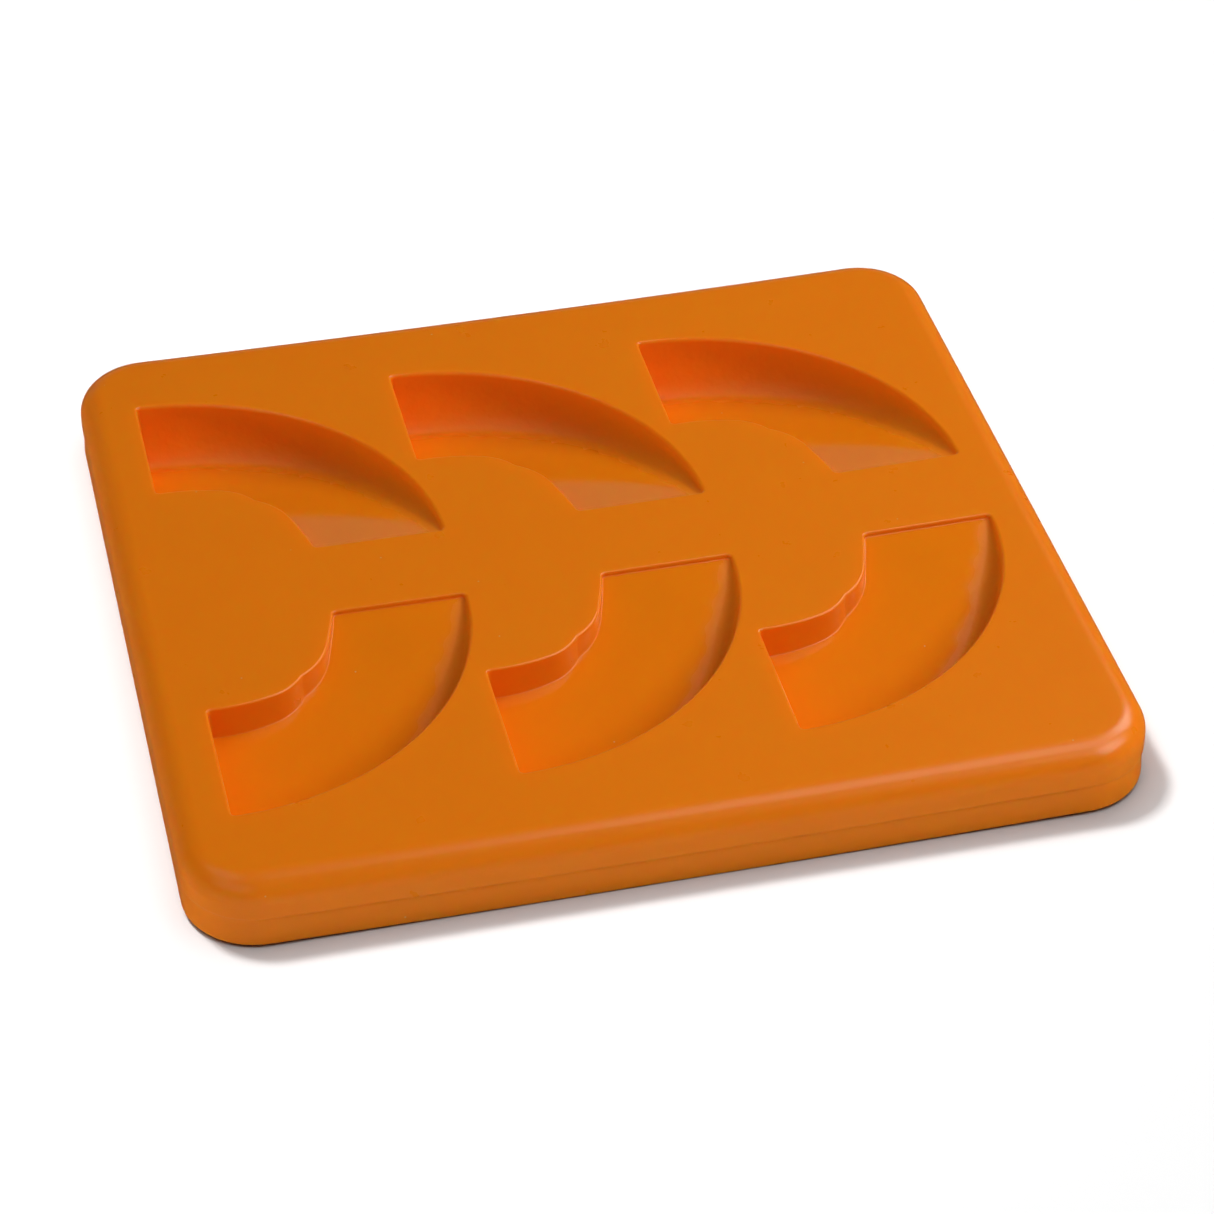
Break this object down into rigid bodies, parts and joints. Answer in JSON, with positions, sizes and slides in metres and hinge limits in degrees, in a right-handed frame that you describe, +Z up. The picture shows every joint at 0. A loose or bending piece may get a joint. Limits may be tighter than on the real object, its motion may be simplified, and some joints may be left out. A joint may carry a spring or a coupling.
{
  "type": "portion mould tray",
  "caption": "Orange silicone mould tray with two rows of curved, wedge-shaped cavities in a thick deck with a rounded shoulder and a skirt.",
  "frame": {"origin": "centre of the bounding box at the base, on the surface the tray stands on", "axes": "+X along the rows of cavities, +Y across the rows to the rear row, +Z up out of the cavities"},
  "size_m": [0.298, 0.275, 0.025],
  "materials": {
    "silicone": "satin"
  },
  "bodies": {
    "root": {"deck_and_skirt": "silicone", "cup_rear_left": "silicone", "cup_rear_middle": "silicone", "cup_rear_right": "silicone", "cup_front_left": "silicone", "cup_front_middle": "silicone", "cup_front_right": "silicone"}
  },
  "joints": []
}
